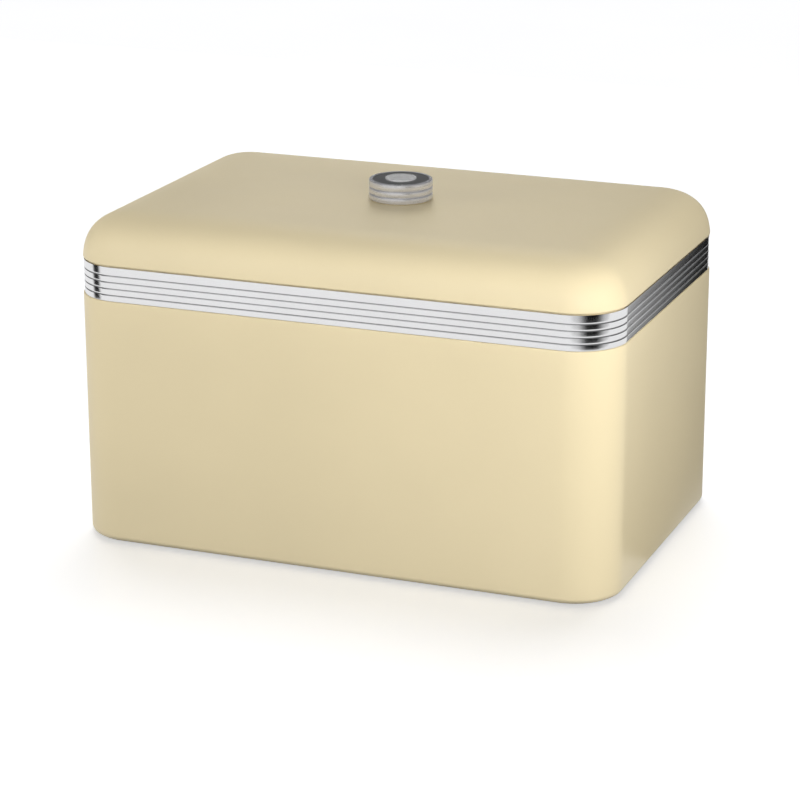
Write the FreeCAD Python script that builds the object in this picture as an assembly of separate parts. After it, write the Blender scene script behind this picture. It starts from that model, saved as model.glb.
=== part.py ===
"""Bread bin: a pressed-steel box with a ribbed bright band round its rim and a lift-off lid with a knob.

Millimetres. +X is to the right along the long side, -Y is the front, +Z is up. The origin is on the surface
that the bin stands on, under the middle of the box. Every sub-part is written to parts/NODE.step.
"""
import math
import os

import FreeCAD
import Part

Vec = FreeCAD.Vector

# ---- Driving dimensions -------------------------------------------------------------------------------
WIDTH = 380.0            # outside of the painted wall, left to right
DEPTH = 252.0            # outside of the painted wall, front to back
CORNER_R = 34.0          # upright corners, seen from above
SHEET = 0.6              # steel sheet of the wall, the base and the lid

FOOT_SHOW = 1.2          # how far the rubber feet hold the wall off the table
BAND_BOTTOM = 170.7      # top of the painted wall's shoulder, where the band starts
LID_EDGE = 194.65        # lowest point of the lid's hem
LID_SHOULDER = 225.8     # where the lid's rounded edges run out into its top
LID_CROWN = 0.6          # how much the top rises from there to the middle
LID_FULLNESS = 0.60      # handle length of the lid's quarter curve; 0.552 would be an ellipse

SEAM_GAP = 0.6           # shadow gap between the lid's hem and the band
NECK_INSET = 2.0         # the wall steps in by this much behind the band
BAND_RECESS = 0.7        # the ribs' crests stay this far inside the painted wall
BEAD_R = 1.6             # the wall's rim is curled inwards to this radius
BOTTOM_R = 4.5           # rounded lower edge of the wall

KNOB_R = 21.6
KNOB_HEIGHT = 13.2
KNOB_GASKET = 0.6
SCREW_R = 2.5            # M5

# ---- Heights and offsets worked out from them ---------------------------------------------------------
WALL_BOTTOM = FOOT_SHOW
SHELF_UNDER = LID_EDGE + 0.9              # underside of the shelf that the lid hangs on
PAD_THICK = 1.1
PAD_CLEARANCE = 0.1
RIM_TOP = SHELF_UNDER - PAD_THICK - PAD_CLEARANCE
BAND_TOP = LID_EDGE - SEAM_GAP
HEM_R = 1.2                               # outer radius of the lid's open hem
PAN_FLANGE_Z = WALL_BOTTOM + SHEET        # the base pan lies on the wall's turned-in lip
FLOOR_UNDER = WALL_BOTTOM + 5.3
PANEL_RISE = 1.5                          # raised stiffening panel of the floor
LID_TOP = LID_SHOULDER + LID_CROWN
LID_UNDER = LID_TOP - SHEET
KNOB_BASE = LID_TOP + KNOB_GASKET


# ---- Shape helpers ------------------------------------------------------------------------------------
def line(a, b):
    """Straight edge in the XZ plane between two (x, z) points."""
    return Part.LineSegment(Vec(a[0], 0, a[1]), Vec(b[0], 0, b[1])).toShape()


def arc(a, via, b):
    """Circular edge in the XZ plane from a to b through via."""
    return Part.Arc(Vec(a[0], 0, a[1]), Vec(via[0], 0, via[1]), Vec(b[0], 0, b[1])).toShape()


def on_circle(centre, radius, degrees):
    """The (x, z) point of a circle at an angle from +X."""
    angle = math.radians(degrees)
    return (centre[0] + radius * math.cos(angle), centre[1] + radius * math.sin(angle))


def outline(*edges):
    """Face bounded by edges that follow each other."""
    return Part.Face(Part.Wire(list(edges)))


def polygon(points):
    """Face bounded by straight lines through (x, z) points."""
    return outline(*[line(a, b) for a, b in zip(points, points[1:] + points[:1])])


def spin(profile, centre=(0.0, 0.0), degrees=360.0):
    """Turns a profile, whose x is a radius, about the upright axis through centre."""
    shape = profile.copy()
    shape.translate(Vec(centre[0], centre[1], 0))
    return shape.revolve(Vec(centre[0], centre[1], 0), Vec(0, 0, 1), degrees)


def fused(pieces):
    return pieces[0].multiFuse(pieces[1:]).removeSplitter()


def around(profile, width=WIDTH, depth=DEPTH, radius=CORNER_R):
    """Carries a profile round a rounded rectangle. The profile's x is the offset outwards from it."""
    run_x = width - 2 * radius
    run_y = depth - 2 * radius
    pieces = []
    for quarter, (reach, run, other) in enumerate(
        ((width / 2, run_y, run_x), (depth / 2, run_x, run_y)) * 2
    ):
        side = profile.copy()
        side.translate(Vec(reach, -run / 2, 0))
        side = side.extrude(Vec(0, run, 0))
        corner_axis = Vec(reach - radius, run / 2, 0)
        corner = profile.copy()
        corner.translate(Vec(reach, run / 2, 0))
        corner = corner.revolve(corner_axis, Vec(0, 0, 1), 90)
        for piece in (side, corner):
            piece.rotate(Vec(0, 0, 0), Vec(0, 0, 1), 90 * quarter)
            pieces.append(piece)
    return fused(pieces)


def slab(width, depth, z_low, z_high):
    """Plain box centred on the upright axis."""
    return Part.makeBox(width, depth, z_high - z_low, Vec(-width / 2, -depth / 2, z_low))


def rod(radius, z_low, z_high, x=0.0, y=0.0):
    return Part.makeCylinder(radius, z_high - z_low, Vec(x, y, z_low))


def rounded_prism(width, depth, radius, z_low, z_high):
    """Upright prism with rounded corners."""
    middle = slab(width, depth - 2 * radius, z_low, z_high)
    across = slab(width - 2 * radius, depth, z_low, z_high)
    posts = [
        rod(radius, z_low, z_high, sx * (width / 2 - radius), sy * (depth / 2 - radius))
        for sx in (-1, 1)
        for sy in (-1, 1)
    ]
    return fused([middle, across] + posts)


def save(name, shape):
    """Writes one sub-part and stops if any of its solids is not sound."""
    for solid in shape.Solids:
        if not solid.isValid() or solid.Volume <= 0:
            raise RuntimeError(name + " is not a sound solid")
    shape.exportStep(os.path.join("parts", name + ".step"))
    print(f"{name}: {len(shape.Solids)} solid(s), {shape.Volume / 1000:.2f} cm3")


# ---- Trim band's fixing at the back, which the wall shares ---------------------------------------------
BACK = DEPTH / 2
CLIP_WIDTH = 16.0
CLIP_THICK = 0.4
CLIP_MARGIN = 1.2
RIVET_R = 1.2
RIVET_HEAD_R = 2.0
RIVET_COLUMNS = (-CLIP_WIDTH / 4, CLIP_WIDTH / 4)
RIVET_HEIGHTS = (BAND_BOTTOM + 5.5, BAND_TOP - 5.5)


def rivet_holes():
    """Holes for all the rivets, through clip, band and neck."""
    reach = 12.0
    holes = [
        Part.makeCylinder(RIVET_R, reach, Vec(x, BACK - reach + 2, z), Vec(0, 1, 0))
        for x in RIVET_COLUMNS
        for z in RIVET_HEIGHTS
    ]
    return Part.makeCompound(holes)


# ---- Box ----------------------------------------------------------------------------------------------
WALL_LIP = 9.0           # the wall's lower edge is turned in this far to carry the base pan
SHOULDER_R = 0.9


def body_wall():
    """Painted wall: turned-in lip, rounded lower edge, shoulder, neck and a rim curled inwards."""
    bottom_in = BOTTOM_R - SHEET
    shoulder_in = SHOULDER_R - SHEET
    neck_in = -NECK_INSET - SHEET
    bead = (-NECK_INSET - BEAD_R, RIM_TOP - BEAD_R)
    bead_in = BEAD_R - SHEET
    z0 = WALL_BOTTOM
    low = (-BOTTOM_R, z0 + BOTTOM_R)
    high = (-SHOULDER_R, BAND_BOTTOM - SHOULDER_R)
    profile = outline(
        line((-WALL_LIP, z0), (-BOTTOM_R, z0)),
        arc((-BOTTOM_R, z0), on_circle(low, BOTTOM_R, -45), (0, z0 + BOTTOM_R)),
        line((0, z0 + BOTTOM_R), (0, high[1])),
        arc((0, high[1]), on_circle(high, SHOULDER_R, 45), (-SHOULDER_R, BAND_BOTTOM)),
        line((-SHOULDER_R, BAND_BOTTOM), (-NECK_INSET, BAND_BOTTOM)),
        line((-NECK_INSET, BAND_BOTTOM), (-NECK_INSET, bead[1])),
        arc((-NECK_INSET, bead[1]), on_circle(bead, BEAD_R, 135), (bead[0], bead[1] - BEAD_R)),
        line((bead[0], bead[1] - BEAD_R), (bead[0], bead[1] - bead_in)),
        arc((bead[0], bead[1] - bead_in), on_circle(bead, bead_in, 135), (neck_in, bead[1])),
        line((neck_in, bead[1]), (neck_in, BAND_BOTTOM - SHEET)),
        line((neck_in, BAND_BOTTOM - SHEET), (-SHOULDER_R, BAND_BOTTOM - SHEET)),
        arc((-SHOULDER_R, BAND_BOTTOM - SHEET), on_circle(high, shoulder_in, 45), (-SHEET, high[1])),
        line((-SHEET, high[1]), (-SHEET, z0 + BOTTOM_R)),
        arc((-SHEET, z0 + BOTTOM_R), on_circle(low, bottom_in, -45), (-BOTTOM_R, z0 + SHEET)),
        line((-BOTTOM_R, z0 + SHEET), (-WALL_LIP, z0 + SHEET)),
        line((-WALL_LIP, z0 + SHEET), (-WALL_LIP, z0)),
    )
    return around(profile).cut(rivet_holes())


PAN_FLANGE_OUT = 5.2     # outer edge of the pan's flange, measured in from the wall's outside
PAN_STEP_FOOT = 10.0
PAN_STEP_HEAD = 14.0
PANEL_MARGIN_X = 46.0    # the raised panel keeps this far from the wall
PANEL_MARGIN_Y = 36.0
PANEL_R = 18.0
PANEL_STEP = 2.5
FOOT_X = WIDTH / 2 - 34.0
FOOT_Y = DEPTH / 2 - 34.0
FOOT_STEM_R = 2.5
FOOT_PLACES = {
    "front_left": (-FOOT_X, -FOOT_Y),
    "front_right": (FOOT_X, -FOOT_Y),
    "rear_left": (-FOOT_X, FOOT_Y),
    "rear_right": (FOOT_X, FOOT_Y),
}


def base_pan():
    """Pressed floor: a flange on the wall's lip, a step up, and a raised stiffening panel."""
    low, high = PAN_FLANGE_Z, FLOOR_UNDER
    border = around(
        polygon(
            [
                (-PAN_FLANGE_OUT, low),
                (-PAN_FLANGE_OUT, low + SHEET),
                (-PAN_STEP_FOOT, low + SHEET),
                (-PAN_STEP_HEAD, high + SHEET),
                (-CORNER_R, high + SHEET),
                (-CORNER_R, high),
                (-PAN_STEP_HEAD - 0.3, high),
                (-PAN_STEP_FOOT - 0.3, low),
            ]
        )
    )
    panel_w = WIDTH - 2 * PANEL_MARGIN_X
    panel_d = DEPTH - 2 * PANEL_MARGIN_Y
    floor = slab(WIDTH - 2 * CORNER_R, DEPTH - 2 * CORNER_R, high, high + SHEET)
    floor = floor.cut(rounded_prism(panel_w, panel_d, PANEL_R, high - 1, high + 2))
    panel_edge = around(
        polygon(
            [
                (0, high),
                (0, high + SHEET),
                (-PANEL_STEP, high + SHEET + PANEL_RISE),
                (-PANEL_R, high + SHEET + PANEL_RISE),
                (-PANEL_R, high + PANEL_RISE),
                (-PANEL_STEP - 0.3, high + PANEL_RISE),
                (-0.3, high),
            ]
        ),
        panel_w,
        panel_d,
        PANEL_R,
    )
    panel_z = high + PANEL_RISE
    panel = slab(panel_w - 2 * PANEL_R, panel_d - 2 * PANEL_R, panel_z, panel_z + SHEET)
    pan = fused([border, floor, panel_edge, panel])
    stems = [rod(FOOT_STEM_R, high - 1, high + 2, x, y) for x, y in FOOT_PLACES.values()]
    return pan.cut(Part.makeCompound(stems))


def foot(x, y):
    """Rubber push-in foot: a tapered pad, a stem through the floor and a bulb that keeps it in."""
    pad_r, tread_r, edge = 8.5, 7.5, 0.8
    bulb_r = 3.6
    head = FLOOR_UNDER + SHEET
    profile = outline(
        line((0, 0), (tread_r - edge, 0)),
        arc((tread_r - edge, 0), on_circle((tread_r - edge, edge), edge, -45), (tread_r, edge)),
        line((tread_r, edge), (pad_r, FLOOR_UNDER)),
        line((pad_r, FLOOR_UNDER), (FOOT_STEM_R, FLOOR_UNDER)),
        line((FOOT_STEM_R, FLOOR_UNDER), (FOOT_STEM_R, head)),
        line((FOOT_STEM_R, head), (bulb_r, head)),
        arc((bulb_r, head), (2.9, head + 1.3), (1.2, head + 1.8)),
        line((1.2, head + 1.8), (0, head + 1.8)),
        line((0, head + 1.8), (0, 0)),
    )
    return spin(profile, (x, y))


# ---- Trim band ----------------------------------------------------------------------------------------
RIB_COUNT = 5
RIB_PITCH = 4.42
RIB_CROWN = 0.15         # how much each rib bulges
GROOVE_WIDTH = 0.7
GROOVE_DEPTH = 0.35      # below the ribs' edges
STRIP = 0.4              # thickness of the rolled strip
BUTT_GAP = 0.4           # where the strip's two ends meet at the middle of the back


def rib_edges(crest):
    """The strip's face, going up: convex ribs parted by narrow grooves, the topmost rib the tallest."""
    shoulder = crest - RIB_CROWN
    groove = shoulder - GROOVE_DEPTH
    edges = []
    low = BAND_BOTTOM
    for rib in range(1, RIB_COUNT):
        boundary = BAND_BOTTOM + RIB_PITCH * rib
        high = boundary - GROOVE_WIDTH / 2
        edges.append(arc((shoulder, low), (crest, (low + high) / 2), (shoulder, high)))
        low = boundary + GROOVE_WIDTH / 2
        edges.append(line((shoulder, high), (groove, boundary)))
        edges.append(line((groove, boundary), (shoulder, low)))
    edges.append(arc((shoulder, low), (crest, (low + BAND_TOP) / 2), (shoulder, BAND_TOP)))
    return edges


def trim_band():
    """Bright rolled strip that lies in the recess round the neck."""
    crest = -BAND_RECESS
    outside = rib_edges(crest)
    inside = rib_edges(crest - STRIP)
    shoulder = crest - RIB_CROWN
    top = line((shoulder, BAND_TOP), (shoulder - STRIP, BAND_TOP))
    bottom = line((shoulder - STRIP, BAND_BOTTOM), (shoulder, BAND_BOTTOM))
    band = around(outline(*outside, top, *reversed(inside), bottom))
    butt = Part.makeBox(BUTT_GAP, 10, 40, Vec(-BUTT_GAP / 2, BACK - 8, BAND_BOTTOM - 5))
    return band.cut(Part.makeCompound([butt, rivet_holes()]))


def trim_joint_clip():
    """Bright cover plate over the band's butt joint at the back."""
    low, high = BAND_BOTTOM + CLIP_MARGIN, BAND_TOP - CLIP_MARGIN
    y = BACK - BAND_RECESS
    plate = Part.makeBox(CLIP_WIDTH, CLIP_THICK, high - low, Vec(-CLIP_WIDTH / 2, y, low))
    uprights = [e for e in plate.Edges if abs(e.tangentAt(e.FirstParameter).y) > 0.9]
    plate = plate.makeFillet(1.5, uprights)
    return plate.cut(rivet_holes())


def trim_rivets():
    """Four blind rivets: low head outside, body through clip, band and neck, set end inside."""
    head_thick = 0.3
    outside = BACK - BAND_RECESS + CLIP_THICK
    inside = BACK - NECK_INSET - SHEET
    set_thick = 0.8
    rivets = []
    for z in RIVET_HEIGHTS:
        for x in RIVET_COLUMNS:
            head = Part.makeCone(
                RIVET_HEAD_R, RIVET_R, head_thick, Vec(x, outside, z), Vec(0, 1, 0)
            )
            length = outside - inside
            shank = Part.makeCylinder(RIVET_R, length, Vec(x, inside, z), Vec(0, 1, 0))
            set_end = Part.makeCylinder(
                RIVET_HEAD_R, set_thick, Vec(x, inside - set_thick, z), Vec(0, 1, 0)
            )
            rivets.append(fused([head, shank, set_end]))
    return Part.makeCompound(rivets)


# ---- Lid ----------------------------------------------------------------------------------------------
HEM_HEIGHT = 6.0
FLANGE_OUT = 6.2         # outside of the locating flange, 1 mm clear of the rim's bead
FLANGE_DROP = 12.0       # how far the flange reaches down inside the rim
SCREW_HOLE_R = 2.75


def quarter_curve(low, high):
    """The lid's rounded edge: a fuller-than-round quarter from low, going up, to high, going inwards."""
    across = low[0] - high[0]
    up = high[1] - low[1]
    curve = Part.BezierCurve()
    curve.setPoles(
        [
            Vec(low[0], 0, low[1]),
            Vec(low[0], 0, low[1] + LID_FULLNESS * up),
            Vec(high[0] + LID_FULLNESS * across, 0, high[1]),
            Vec(high[0], 0, high[1]),
        ]
    )
    return curve.toShape()


def lid_crown():
    """The slightly domed rectangle of sheet between the lid's rounded edges."""
    half_x = WIDTH / 2 - CORNER_R
    half_y = DEPTH / 2 - CORNER_R
    poles = [[Vec(sx * half_x, sy * half_y, LID_SHOULDER) for sy in (-1, 0, 1)] for sx in (-1, 0, 1)]
    poles[1][1].z += 4 * LID_CROWN
    surface = Part.BezierSurface()
    surface.increase(2, 2)
    for row, line_of_poles in enumerate(poles, start=1):
        for column, pole in enumerate(line_of_poles, start=1):
            surface.setPole(row, column, pole)
    return surface.toShape().extrude(Vec(0, 0, -SHEET))


def lid_shell():
    """Deep-drawn lid: crowned top, full rounded edges and corners, and an open hem at its lower edge."""
    hem = (-HEM_R, LID_EDGE + HEM_R)
    hem_in = HEM_R - SHEET
    hem_top = LID_EDGE + HEM_HEIGHT
    inner, outer = -2 * HEM_R + SHEET, -2 * HEM_R
    under = LID_SHOULDER - SHEET
    profile = outline(
        quarter_curve((0, hem[1]), (-CORNER_R, LID_SHOULDER)),
        line((-CORNER_R, LID_SHOULDER), (-CORNER_R, under)),
        quarter_curve((-SHEET, hem[1]), (-CORNER_R, under)),
        arc((-SHEET, hem[1]), on_circle(hem, hem_in, -90), (inner, hem[1])),
        line((inner, hem[1]), (inner, hem_top)),
        line((inner, hem_top), (outer, hem_top)),
        line((outer, hem_top), (outer, hem[1])),
        arc((outer, hem[1]), on_circle(hem, HEM_R, -90), (0, hem[1])),
    )
    lid = fused([around(profile), lid_crown()])
    return lid.cut(rod(SCREW_HOLE_R, LID_UNDER - 1, LID_TOP + 1))


def lid_locating_flange():
    """Strip welded inside the hem: its shelf hangs on the rim and its leg centres the lid in the neck."""
    weld = -2 * HEM_R
    shelf = SHELF_UNDER
    leg_in = -FLANGE_OUT - SHEET
    return around(
        polygon(
            [
                (weld, shelf + 0.3),
                (weld, LID_EDGE + HEM_HEIGHT - 1),
                (weld - SHEET, LID_EDGE + HEM_HEIGHT - 1),
                (weld - SHEET, shelf + SHEET),
                (leg_in, shelf + SHEET),
                (leg_in, LID_EDGE - FLANGE_DROP + 1),
                (leg_in - 0.8, LID_EDGE - FLANGE_DROP),
                (-FLANGE_OUT - 0.8, LID_EDGE - FLANGE_DROP),
                (-FLANGE_OUT, LID_EDGE - FLANGE_DROP + 1),
                (-FLANGE_OUT, shelf),
                (weld - 0.2, shelf),
            ]
        )
    )


PAD_LENGTH = 14.0
PAD_WIDTH = 2.6
PAD_PLACES = {
    "front_left": (-1, -1),
    "front_right": (1, -1),
    "rear_left": (-1, 1),
    "rear_right": (1, 1),
}
PAD_X = WIDTH / 2 - CORNER_R - 20.0


def lid_pad(side_x, side_y):
    """Clear soft pad under the lid's shelf, so that painted metal never meets painted metal."""
    near = DEPTH / 2 - NECK_INSET - 1.0 - PAD_WIDTH
    pad = Part.makeBox(PAD_LENGTH, PAD_WIDTH, PAD_THICK, Vec(0, 0, SHELF_UNDER - PAD_THICK))
    pad = pad.makeFillet(1.0, [e for e in pad.Edges if abs(e.tangentAt(e.FirstParameter).z) > 0.9])
    y = near if side_y > 0 else -near - PAD_WIDTH
    pad.translate(Vec(side_x * PAD_X - PAD_LENGTH / 2, y, 0))
    return pad


# ---- Knob ---------------------------------------------------------------------------------------------
KNOB_GROOVES = (4.1, 8.4)        # heights above the knob's foot; they part three ribs of much the same height
KNOB_BULGE = 0.6
KNOB_GROOVE_DEPTH = 0.6
KNOB_BEVEL = 1.2
FACE_R = 19.3                    # recess in the knob's top
FACE_THICK = 0.8
FACE_RECESS = 1.0
KNOB_WALL = 2.0
BOSS_R = 6.5
INSERT_R = 3.5
INSERT_LENGTH = 8.0
MEDALLION_R = 10.5
MEDALLION_RISE = 1.1
STUD_R = 1.5


def knob_shell():
    """Bright ribbed knob, hollow underneath, with a boss for the insert and a shallow recess on top."""
    edge_r = KNOB_R - KNOB_BULGE
    groove_r = edge_r - KNOB_GROOVE_DEPTH
    half = GROOVE_WIDTH / 2
    z0 = KNOB_BASE
    edges = []
    low = z0
    for height in KNOB_GROOVES:
        high = z0 + height - half
        edges.append(arc((edge_r, low), (KNOB_R, (low + high) / 2), (edge_r, high)))
        low = z0 + height + half
        edges.append(line((edge_r, high), (groove_r, z0 + height)))
        edges.append(line((groove_r, z0 + height), (edge_r, low)))
    top = z0 + KNOB_HEIGHT
    brow = (edge_r + 0.2, top - KNOB_BEVEL)
    bevel_centre = (brow[0] - KNOB_BEVEL, brow[1])
    edges.append(arc((edge_r, low), (KNOB_R, (low + brow[1]) / 2), brow))
    edges.append(arc(brow, on_circle(bevel_centre, KNOB_BEVEL, 45), (bevel_centre[0], top)))
    recess = top - FACE_RECESS
    ceiling = recess - KNOB_WALL
    corners = [
        (bevel_centre[0], top),
        (FACE_R, top),
        (FACE_R, recess),
        (STUD_R, recess),
        (STUD_R, ceiling + 0.5),
        (0, ceiling + 0.5),
        (0, z0 + INSERT_LENGTH + 0.5),
        (INSERT_R, z0 + INSERT_LENGTH + 0.5),
        (INSERT_R, z0),
        (BOSS_R, z0),
        (BOSS_R, ceiling),
        (edge_r - KNOB_WALL, ceiling),
        (edge_r - KNOB_WALL, z0),
        (edge_r, z0),
    ]
    edges += [line(a, b) for a, b in zip(corners, corners[1:])]
    return spin(outline(*edges))


def knob_face_disc():
    """Dark satin disc in the knob's top, slightly dished towards the medallion."""
    z0 = KNOB_BASE + KNOB_HEIGHT - FACE_RECESS
    rim = FACE_R - 0.05
    return spin(
        polygon(
            [
                (STUD_R, z0),
                (rim, z0),
                (rim, z0 + FACE_THICK),
                (MEDALLION_R + 0.4, z0 + FACE_THICK - 0.15),
                (STUD_R, z0 + FACE_THICK - 0.15),
            ]
        )
    )


def knob_medallion():
    """Plain round medallion: raised rim, dished field and a low central button, on a press-in stud."""
    base = KNOB_BASE + KNOB_HEIGHT - FACE_RECESS + FACE_THICK - 0.15
    top = base + MEDALLION_RISE
    stud_end = KNOB_BASE + KNOB_HEIGHT - FACE_RECESS - 1.4
    r = MEDALLION_R
    profile = outline(
        line((0, stud_end), (STUD_R, stud_end)),
        line((STUD_R, stud_end), (STUD_R, base)),
        line((STUD_R, base), (r, base)),
        line((r, base), (r, top - 0.4)),
        arc((r, top - 0.4), on_circle((r - 0.4, top - 0.4), 0.4, 45), (r - 0.4, top)),
        line((r - 0.4, top), (r - 1.2, top)),
        line((r - 1.2, top), (r - 1.6, top - 0.35)),
        line((r - 1.6, top - 0.35), (5.6, top - 0.45)),
        arc((5.6, top - 0.45), (5.1, top - 0.22), (4.6, top - 0.45)),
        line((4.6, top - 0.45), (3.0, top - 0.45)),
        arc((3.0, top - 0.45), (2.2, top - 0.12), (1.0, top)),
        line((1.0, top), (0, top)),
        line((0, top), (0, stud_end)),
    )
    return spin(profile)


def tube(outer, inner, z_low, z_high):
    return rod(outer, z_low, z_high).cut(rod(inner, z_low - 1, z_high + 1))


def knob_insert():
    """Threaded brass insert in the knob's boss, with two grip rings."""
    z0 = KNOB_BASE
    insert = tube(INSERT_R - 0.02, SCREW_R + 0.05, z0, z0 + INSERT_LENGTH)
    waists = [
        tube(INSERT_R + 1, INSERT_R - 0.4, z0 + z, z0 + z + 1.2) for z in (2.0, 4.8)
    ]
    return insert.cut(Part.makeCompound(waists))


def knob_gasket():
    """Soft washer between the knob and the painted lid, squeezed to the crown of the lid."""
    return tube(KNOB_R - 1.6, SCREW_HOLE_R, LID_TOP - 0.3, KNOB_BASE).cut(lid_crown())


WASHER_TOP = LID_UNDER - 0.02    # the crown falls away by this much under the washer's rim
WASHER_THICK = 1.0
LOCK_THICK = 1.2
HEAD_R = 4.75
HEAD_THICK = 3.2


def knob_flat_washer():
    """Wide steel washer against the lid's underside."""
    return tube(8.0, SCREW_R + 0.15, WASHER_TOP - WASHER_THICK, WASHER_TOP)


def knob_lock_washer():
    """Split spring washer, cut through at a slant."""
    top = WASHER_TOP - WASHER_THICK
    ring = tube(4.4, SCREW_R + 0.15, top - LOCK_THICK, top)
    split = Part.makeBox(0.8, 4, 6, Vec(-0.4, 1.5, top - 3.5))
    split.rotate(Vec(0, 0, top - LOCK_THICK / 2), Vec(0, 1, 0), 25)
    return ring.cut(split)


def knob_screw():
    """Pan-head screw, driven from inside the lid, with a cross recess in its head."""
    seat = WASHER_TOP - WASHER_THICK - LOCK_THICK
    low = seat - HEAD_THICK
    head = spin(
        outline(
            line((0, low), (HEAD_R - 1.8, low)),
            arc((HEAD_R - 1.8, low), on_circle((HEAD_R - 1.8, low + 1.8), 1.8, -45), (HEAD_R, low + 1.8)),
            line((HEAD_R, low + 1.8), (HEAD_R, seat)),
            line((HEAD_R, seat), (0, seat)),
            line((0, seat), (0, low)),
        )
    )
    shank = rod(SCREW_R, seat - 0.5, KNOB_BASE + INSERT_LENGTH - 0.6)
    cross = [slab(5.0, 1.1, low - 1, low + 1.6), slab(1.1, 5.0, low - 1, low + 1.6)]
    return fused([head, shank]).cut(fused(cross))


# ---- Build --------------------------------------------------------------------------------------------
def main():
    os.makedirs("parts", exist_ok=True)
    save("body_wall", body_wall())
    save("base_pan", base_pan())
    for place, (x, y) in FOOT_PLACES.items():
        save("foot_" + place, foot(x, y))
    save("trim_band", trim_band())
    save("trim_joint_clip", trim_joint_clip())
    save("trim_rivets", trim_rivets())
    save("lid_shell", lid_shell())
    save("lid_locating_flange", lid_locating_flange())
    for place, (side_x, side_y) in PAD_PLACES.items():
        save("lid_pad_" + place, lid_pad(side_x, side_y))
    save("knob_gasket", knob_gasket())
    save("knob_shell", knob_shell())
    save("knob_insert", knob_insert())
    save("knob_face_disc", knob_face_disc())
    save("knob_medallion", knob_medallion())
    save("knob_flat_washer", knob_flat_washer())
    save("knob_lock_washer", knob_lock_washer())
    save("knob_screw", knob_screw())


main()
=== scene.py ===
import math

import bpy
from mathutils import Matrix, Vector


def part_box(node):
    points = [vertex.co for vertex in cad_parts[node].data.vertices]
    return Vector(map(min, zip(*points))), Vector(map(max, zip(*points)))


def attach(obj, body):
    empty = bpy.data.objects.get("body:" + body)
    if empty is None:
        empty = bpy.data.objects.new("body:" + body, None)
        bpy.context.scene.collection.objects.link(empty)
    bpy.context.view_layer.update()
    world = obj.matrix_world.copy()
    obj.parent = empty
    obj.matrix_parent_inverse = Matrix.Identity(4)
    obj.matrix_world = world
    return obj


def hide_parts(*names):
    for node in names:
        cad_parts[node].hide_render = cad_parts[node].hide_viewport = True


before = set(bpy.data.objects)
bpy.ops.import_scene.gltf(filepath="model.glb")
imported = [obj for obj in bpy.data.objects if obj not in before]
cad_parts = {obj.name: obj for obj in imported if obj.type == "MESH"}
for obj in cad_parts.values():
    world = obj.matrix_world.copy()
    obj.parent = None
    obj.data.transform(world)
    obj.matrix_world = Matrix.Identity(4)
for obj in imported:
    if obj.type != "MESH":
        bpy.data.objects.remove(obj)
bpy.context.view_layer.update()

MM = 0.001


# ---- Sizes, read from the frame where it has them ------------------------------------------------------
def node_box(name):
    """The low and high corners of a frame node's box."""
    low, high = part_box(name)
    return Vector(low), Vector(high)


WALL_LOW, WALL_HIGH = node_box("body_wall")
BAND_LOW, BAND_HIGH = node_box("trim_band")
LID_LOW, LID_HIGH = node_box("lid_shell")
FLANGE_LOW, _ = node_box("lid_locating_flange")
PAN_LOW, _ = node_box("base_pan")
KNOB_LOW, KNOB_HIGH = node_box("knob_shell")
DISC_LOW, DISC_HIGH = node_box("knob_face_disc")
BADGE_LOW, BADGE_HIGH = node_box("knob_medallion")

HALF_X = WALL_HIGH.x
HALF_Y = WALL_HIGH.y
CORNER_R = 34 * MM
SHEET = 0.6 * MM
BAND_BOTTOM = BAND_LOW.z
BAND_TOP = BAND_HIGH.z
RIM_TOP = WALL_HIGH.z
LID_EDGE = LID_LOW.z
LID_TOP = LID_HIGH.z


# ---- Mesh helpers --------------------------------------------------------------------------------------
def rounded_outline(half_x, half_y, radius, corner_steps, side_steps):
    """Points round a rounded rectangle, anticlockwise seen from above."""
    points = []
    corners = ((1, -1, -90), (1, 1, 0), (-1, 1, 90), (-1, -1, 180))
    for index, (side_x, side_y, start) in enumerate(corners):
        centre = Vector((side_x * (half_x - radius), side_y * (half_y - radius)))
        for step in range(corner_steps + 1):
            angle = math.radians(start + 90 * step / corner_steps)
            points.append(centre + radius * Vector((math.cos(angle), math.sin(angle))))
        next_x, next_y, next_start = corners[(index + 1) % 4]
        next_centre = Vector((next_x * (half_x - radius), next_y * (half_y - radius)))
        next_angle = math.radians(next_start)
        target = next_centre + radius * Vector((math.cos(next_angle), math.sin(next_angle)))
        here = points[-1]
        for step in range(1, side_steps):
            points.append(here.lerp(target, step / side_steps))
    return points


def arc(centre, radius, start, end, steps):
    """Points (offset, z) of a circular arc; angles in degrees from the outward direction."""
    points = []
    for step in range(steps + 1):
        angle = math.radians(start + (end - start) * step / steps)
        points.append((centre[0] + radius * math.cos(angle), centre[1] + radius * math.sin(angle)))
    return points


SHARP_EDGE = math.radians(38)      # edges that turn more than this stay crisp


def mesh_object(name, verts, faces, materials, body):
    """New piece from points and faces, smooth apart from its sharp edges, riding on a body."""
    mesh = bpy.data.meshes.new(name)
    mesh.from_pydata([tuple(v) for v in verts], [], faces)
    mesh.validate()
    for face in mesh.polygons:
        face.use_smooth = True
    mesh.set_sharp_from_angle(angle=SHARP_EDGE)
    piece = bpy.data.objects.new(name, mesh)
    bpy.context.scene.collection.objects.link(piece)
    for material in materials:
        mesh.materials.append(material)
    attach(piece, body)
    return piece


def bridge(count, rings, closed):
    """Quads between rings of equal length, numbered one ring after another."""
    faces = []
    pairs = list(zip(range(rings), range(1, rings)))
    if closed:
        pairs.append((rings - 1, 0))
    for a, b in pairs:
        for i in range(count):
            j = (i + 1) % count
            faces.append((a * count + i, a * count + j, b * count + j, b * count + i))
    return faces


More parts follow.
